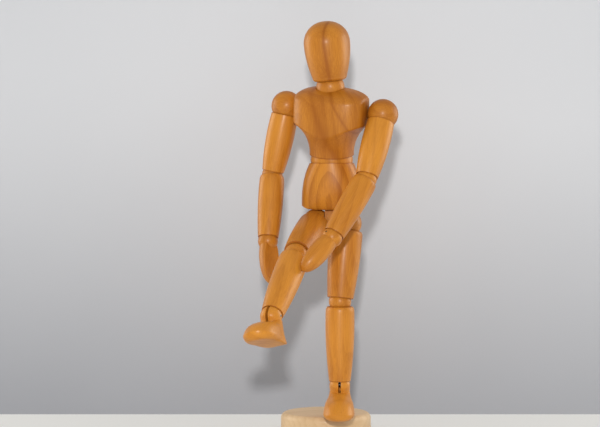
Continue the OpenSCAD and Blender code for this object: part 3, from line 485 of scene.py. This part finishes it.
# Head: an egg on rounded-box rings, with a rounded lower edge round the neck's cup
def headRings(form):
    u = aroundTurns(form["around"])
    low, tall = form["chinRise"], form["height"]
    wideAt = low + tall * form["wide"]
    bend = np.linspace(0, math.pi / 2, form["edgeLevels"])
    climb = np.linspace(0, 1, form["jawLevels"])[1:]
    lean = np.linspace(0, math.radians(form["crownEnd"]), form["crownLevels"])[1:]
    taper = (form["width"] - form["chin"]) / 2
    size = np.concatenate([
        form["chin"] / 2 - form["edge"] * (1 - np.sin(bend)),
        form["width"] / 2 - taper * (1 - climb) ** form["jaw"],
        form["width"] / 2 * np.cos(lean) ** form["crown"]])[:, None]
    z = np.concatenate([
        low + form["edge"] * (1 - np.cos(bend)),
        low + form["edge"] + (wideAt - low - form["edge"]) * climb,
        wideAt + tall * (1 - form["wide"]) * np.sin(lean)])[:, None]
    depth = form["depth"] * np.where(np.sin(u) < 0, 1 - form["back"], form["back"]) * 2 / form["width"]
    radius = size * boxRadius(u, 1.0, depth, form["square"])
    outside = np.stack([radius * np.cos(u), radius * np.sin(u), z + 0 * radius], -1)
    return np.concatenate([cupRings(u, form["cup"], low, form["cupLevels"]), outside])


# The feet's form in millimetres from the ankle's middle; the toe points to -Y
footForm = {
    "length": 46.7, "heel": 11.6, "width": 25.4, "rise": 20.4, "heelLift": 1.8,
    "middle": 0.55,  # share of the length from the heel to the outline's middle
    "blunt": 0.62, "bluntToe": 0.9, "heelWide": 0.56, "toeWide": 1.1, "toeIn": 0.04, "toeInSteep": 6,
    "toeSpread": 1.5, "heelSpread": 0.7,  # how toe and heel pass into the sides
    "weltToe": 5.4, "weltSide": 3.6, "weltHeel": 0.7,  # height of the welt over the sole
    "insetToe": 5.4, "insetSide": 3.8, "insetHeel": 0.5,  # how far the sole lies inside the welt
    "highToe": 8.2, "highSide": 7.0, "highHeel": 2.2,  # height of the rounded upper over the welt
    "full": 5.0, "steep": 3.2, "drawIn": 1.4,  # powers of the upper's curve
    "ankle": (7.2, 6.2), "ball": 7.5, "stem": 7.5, "saw": 4.5, "slot": 0.95,
    "around": 144, "underLevels": 14, "overLevels": 64, "pole": 0.05, "poleLevels": 8,
}
footTurns = {"right": {"bend": 37.0, "cant": -11.0}, "left": {"bend": 4.5, "cant": 0.0}}  # degrees
cheekForm = {"ballEnd": 1.44, "stemLevels": 24, "ballLevels": 40, "around": 48, "flatAround": 10}
webForm = {
    "under": 0.4, "over": 0.6, "into": 0.1, "thick": 1.6, "square": 8.0, "back": 4.8,
    "around": 24, "levels": 12,
}
pinForm = {"radius": 2.0, "dome": 0.5, "pole": 0.05, "edge": 1.4, "around": 32, "levels": 12}


# Foot: an egg outline at the welt, which rounds in to the sole below and draws in to the ankle above
def footRings(form):
    u = aroundTurns(form["around"])
    forward = (1 - np.sin(u)) / 2
    toeward = np.maximum(0, -np.sin(u)) ** form["toeSpread"]
    heelward = np.maximum(0, np.sin(u)) ** form["heelSpread"]

    def varied(key):
        side = form[key + "Side"]
        return side + (form[key + "Toe"] - side) * toeward + (form[key + "Heel"] - side) * heelward

    wide = form["heelWide"] + (form["toeWide"] - form["heelWide"]) * forward
    wide = wide - form["toeIn"] * forward ** form["toeInSteep"]
    blunt = form["blunt"] + (form["bluntToe"] - form["blunt"]) * toeward
    weltX = form["width"] / 2 * np.sign(np.cos(u)) * np.abs(np.cos(u)) ** blunt * wide
    weltY = form["heel"] - form["length"] * forward
    middleY = form["heel"] - form["length"] * form["middle"]
    out = np.hypot(weltX, weltY - middleY)
    welt, inset, high = varied("welt"), varied("inset"), varied("high")
    bend = np.linspace(0, math.pi / 2, form["underLevels"])[:-1, None]
    low = 1 - inset * (1 - np.sin(bend)) / out
    under = np.stack([weltX * low, middleY + (weltY - middleY) * low, welt * (1 - np.cos(bend))], -1)
    shrink = np.linspace(form["pole"], 1, form["poleLevels"])[:-1, None]
    sole = under[:1] * (1, 1, 0) * shrink[..., None] + (1 - shrink[..., None]) * np.array((0, middleY, 0))
    drawIn = np.linspace(0, 1, form["overLevels"])[:, None] ** form["drawIn"]
    rest = form["rise"] - form["saw"] - welt - high
    over = np.stack([weltX + (form["ankle"][0] * np.cos(u) - weltX) * drawIn,
                     weltY + (form["ankle"][1] * np.sin(u) - weltY) * drawIn,
                     welt + high * (1 - (1 - drawIn) ** form["full"]) + rest * drawIn ** form["steep"]], -1)
    cap = over[-1:] * np.stack([shrink[::-1], shrink[::-1], np.ones_like(shrink)], -1)
    rings = np.concatenate([sole, under, over, cap])
    behind = np.clip(rings[..., 1] / form["heel"], 0, 1)
    rings[..., 2] += form["heelLift"] * behind ** 2 * (1 - rings[..., 2] / (form["rise"] - form["saw"]))
    return rings - np.array((0, 0, form["rise"]))


# One cheek of the slotted ankle: a ball that draws in to an oval stem, cut flat along the slot
def cheekRings(form, foot, way):
    stem = np.linspace(-foot["stem"], 0, form["stemLevels"])[:-1]
    lean = np.linspace(0, form["ballEnd"], form["ballLevels"])
    z = np.concatenate([stem, foot["ball"] * np.sin(lean)])[:, None]
    low = np.clip(-z / foot["saw"], 0, 1)
    ease = low * low * (3 - 2 * low)
    ball = np.sqrt(foot["ball"] ** 2 - np.maximum(z, 0) ** 2)
    acrossX, acrossY = (ball + (end - ball) * ease for end in foot["ankle"])
    opening = np.arccos(foot["slot"] / acrossX)
    turn = np.linspace(-1, 1, form["around"]) * opening
    arc = np.stack([acrossX * np.cos(turn), acrossY * np.sin(turn), z + 0 * turn], -1)
    back = np.linspace(1, -1, form["flatAround"])[1:-1] * acrossY * np.sin(opening)
    flat = np.stack([foot["slot"] + 0 * back, back, z + 0 * back], -1)
    rings = np.concatenate([arc, flat], 1)
    return rings if way > 0 else (rings * (-1, 1, 1))[:, ::-1]


# Web behind the slot: a rounded block that closes the saw cut at the back
def webRings(form, foot):
    u = aroundTurns(form["around"])
    z = np.linspace(-foot["saw"] - form["under"], form["over"], form["levels"])[:, None]
    radius = boxRadius(u, foot["slot"] + form["into"], form["thick"], form["square"])
    return np.stack([radius * np.cos(u) + 0 * z, radius * np.sin(u) + form["back"] + 0 * z, z + 0 * u], -1)


# End of the ankle's pin: a small domed disc on the side of the ball
def pinRings(form, foot):
    u = aroundTurns(form["around"])
    lean = np.linspace(form["pole"], form["edge"], form["levels"])[:, None]
    radius = form["radius"] * np.sin(lean)
    out = foot["ball"] - form["dome"] + form["dome"] * np.cos(lean)
    return np.stack([out + 0 * u, radius * np.cos(u), radius * np.sin(u)], -1)[::-1]


# The raised foot is turned from its shin, the standing one from upright
def footPlace(side):
    across = pointing(jointAxis[f"{side}_ankle_bend"], figureLeft)
    ankle, knee = jointAt[f"{side}_ankle_bend"], jointAt[f"{side}_knee_bend"]
    upright = squareTo(knee - ankle, across) if side == "right" else figureUp
    bend = Matrix.Rotation(math.radians(footTurns[side]["bend"]), 3, across)
    return ankle, axesFrom(across, bend @ upright)


def buildFoot(side, wood):
    ankle, axes = footPlace(side)
    name = f"{side}_foot"
    canted = axes @ Matrix.Rotation(math.radians(footTurns[side]["cant"]), 3, "Y")
    shoe = ringSkin(name + "Shoe", footRings(footForm), (ankle, canted), wood, name)
    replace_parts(shoe, name)
    for way, word in ((1, "LeftCheek"), (-1, "RightCheek")):
        ringSkin(name + word, cheekRings(cheekForm, footForm, way), (ankle, axes), wood, name)
    ringSkin(name + "Web", webRings(webForm, footForm), (ankle, axes), wood, name)
    ringSkin(name + "PinEnd", pinRings(pinForm, footForm), (ankle, axes), steel, name)


# Where painted shade lines the gaps between parts: the ends of a piece along its grain, in millimetres from
# its middle
def endsOf(name):
    middle, axes = places[name]
    along = (corners(name) - np.array(middle)) @ np.array(axes.col[2]) * millimetres
    return float(along.min()), float(along.max())


pelvisRim = 43.7  # millimetres over the hips
# the ends that get the painted shade of the gaps between parts
paintedSeamShades = {"chest": (chestForm["rim"],), "head": (headForm["chinRise"],), "pelvis": (pelvisRim,)}
for name in places:
    if name.endswith(("upper_arm", "forearm", "thigh", "shin")):
        paintedSeamShades[name] = endsOf(name)

skins = {"chest": chestRings(chestForm), "head": headRings(headForm)}
for name in nodes:
    if name not in pieceTones:
        dressSolid(name, steel)
        continue
    tone, cut = pieceTones[name]
    look = baseWood if name == "base" else figureWood
    look = dict(look, **pieceRings.get(name, {}))
    wood = woodMaterial(
        f"wood_{name}", places[name], look, tone, cut, pieceMarks.get(name, ()), paintedSeamShades.get(name, ()))
    dressSolid(name, wood)
    if name in skins:
        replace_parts(ringSkin(name + "Skin", skins[name], places[name], wood, name), name)
    if name.endswith("_foot"):
        buildFoot(name.split("_")[0], wood)
print("solids dressed:", len(nodes))

# Camera as the photograph has it: focal length and picture in pixels, place in metres
camera = {
    "picture": (600, 427), "focal": 1910.0, "horizon": 160.0, "sensor": 36.0, "place": (-0.019, -1.4, 0.2),
}
cameraData = bpy.data.cameras.new("camera")
cameraData.sensor_width = camera["sensor"]
cameraData.lens = camera["focal"] * cameraData.sensor_width / camera["picture"][0]
cameraPiece = bpy.data.objects.new("camera", cameraData)
bpy.context.scene.collection.objects.link(cameraPiece)
dip = math.atan((camera["picture"][1] / 2 - camera["horizon"]) / camera["focal"])
cameraPiece.location = camera["place"]
cameraPiece.rotation_euler = (math.pi / 2 - dip, 0, 0)
bpy.context.scene.camera = cameraPiece

# Pale floor and a wall close behind, which only the camera sees and only from the front; the wall's colour
# holds painted light, darker low down and lighter towards the top and the right
stageLook = {
    "wallY": 0.098, "wallHalf": 2.4, "wallHigh": 2.0, "floorHalf": 6.0,
    # the wall's painted light: its shaded colour low down, its lit colour at the top, and how much lighter
    # it grows to the right
    "wallLow": (0.315, 0.322, 0.35), "wallTop": (0.7, 0.712, 0.74), "wallFrom": -0.1, "wallTo": 0.28,
    "wallSlant": 0.3, "clouds": (6.0, 6.0, 6.0), "cloudShare": 0.1, "floor": (0.83, 0.84, 0.84),
    "floorDark": (0.7, 0.7, 0.7), "floorGrain": (40.0, 40.0, 40.0), "floorShare": 0.06,
    "floorRoughness": 0.6,
}


def flatPiece(name, rows, material):
    mesh = bpy.data.meshes.new(name)
    mesh.from_pydata(rows, [], [(0, 1, 2, 3)])
    mesh.materials.append(material)
    piece = bpy.data.objects.new(name, mesh)
    bpy.context.scene.collection.objects.link(piece)
    return piece


def wallMaterial():
    board = Board("wallPaint")
    seen = board.node("ShaderNodeTexCoord")
    parts = board.node("ShaderNodeSeparateXYZ", None, {"Vector": board.out(seen, "Object")})
    # Painted light: the wall's colour grows lighter upwards and towards the right
    high = smoothStep(board, board.out(parts, "Z"), stageLook["wallFrom"], stageLook["wallTo"])
    cloudy = noise(board, board.out(seen, "Object"), stageLook["clouds"]) - noiseMiddle
    share = high + board.out(parts, "X") * stageLook["wallSlant"] + cloudy * stageLook["cloudShare"]
    colour = mixed(board, share, stageLook["wallLow"], stageLook["wallTop"])
    paint = board.node("ShaderNodeBsdfDiffuse", None, {"Color": colour})
    clear = board.node("ShaderNodeBsdfTransparent")
    facing = board.node("ShaderNodeNewGeometry")
    both = board.node("ShaderNodeMixShader", None, {
        "Fac": board.out(facing, "Backfacing"), 1: board.out(paint), 2: board.out(clear)})
    return board.finish(both)


def floorMaterial():
    board = Board("floorPaint")
    seen = board.node("ShaderNodeTexCoord")
    specks = noise(board, board.out(seen, "Object"), stageLook["floorGrain"]) * stageLook["floorShare"]
    shader = board.node("ShaderNodeBsdfPrincipled", None, {
        "Base Color": mixed(board, specks, stageLook["floor"], stageLook["floorDark"]),
        "Roughness": stageLook["floorRoughness"]})
    return board.finish(shader)


half, wallY, wallHigh = stageLook["wallHalf"], stageLook["wallY"], stageLook["wallHigh"]
wallRows = [(-half, wallY, 0), (half, wallY, 0), (half, wallY, wallHigh), (-half, wallY, wallHigh)]
wall = flatPiece("wall", wallRows, wallMaterial())
wall.visible_shadow = False
wall.visible_diffuse = False
wall.visible_glossy = False
wall.visible_transmission = False
half = stageLook["floorHalf"]
flatPiece("floor", [(-half, -half, 0), (half, -half, 0), (half, half, 0), (-half, half, 0)], floorMaterial())

# Soft studio lamps: place and size in metres, and watts; each one faces the figure
lamps = {
    "flash": {"place": (-0.045, -1.4, 0.4), "size": 0.06, "watts": 9.0, "colour": (1.0, 0.98, 0.95)},
    "right": {"place": (0.9, 0.3, 0.4), "size": 0.6, "watts": 4.0, "colour": (1.0, 0.93, 0.8)},
    "left": {"place": (-0.9, 0.28, 0.36), "size": 0.6, "watts": 3.8, "colour": (1.0, 0.92, 0.78)},
}
aim = Vector((0.0, 0.0, 0.17))
for name, lamp in lamps.items():
    light = bpy.data.lights.new(name, "AREA")
    light.size = lamp["size"]
    light.energy = lamp["watts"]
    light.color = lamp["colour"]
    piece = bpy.data.objects.new(name, light)
    piece.location = lamp["place"]
    piece.rotation_euler = (aim - Vector(lamp["place"])).to_track_quat("-Z", "Y").to_euler()
    bpy.context.scene.collection.objects.link(piece)

# A pale sky that fills the shade
skyLook = {"colour": (0.98, 0.99, 1.0), "strength": 0.5}
world = bpy.data.worlds.new("studio")
world.use_nodes = True
sky = world.node_tree.nodes["Background"]
sky.inputs["Color"].default_value = opaque(skyLook["colour"])
sky.inputs["Strength"].default_value = skyLook["strength"]
bpy.context.scene.world = world
bpy.context.scene.view_settings.view_transform = "Standard"
print("camera, stage and lamps set")
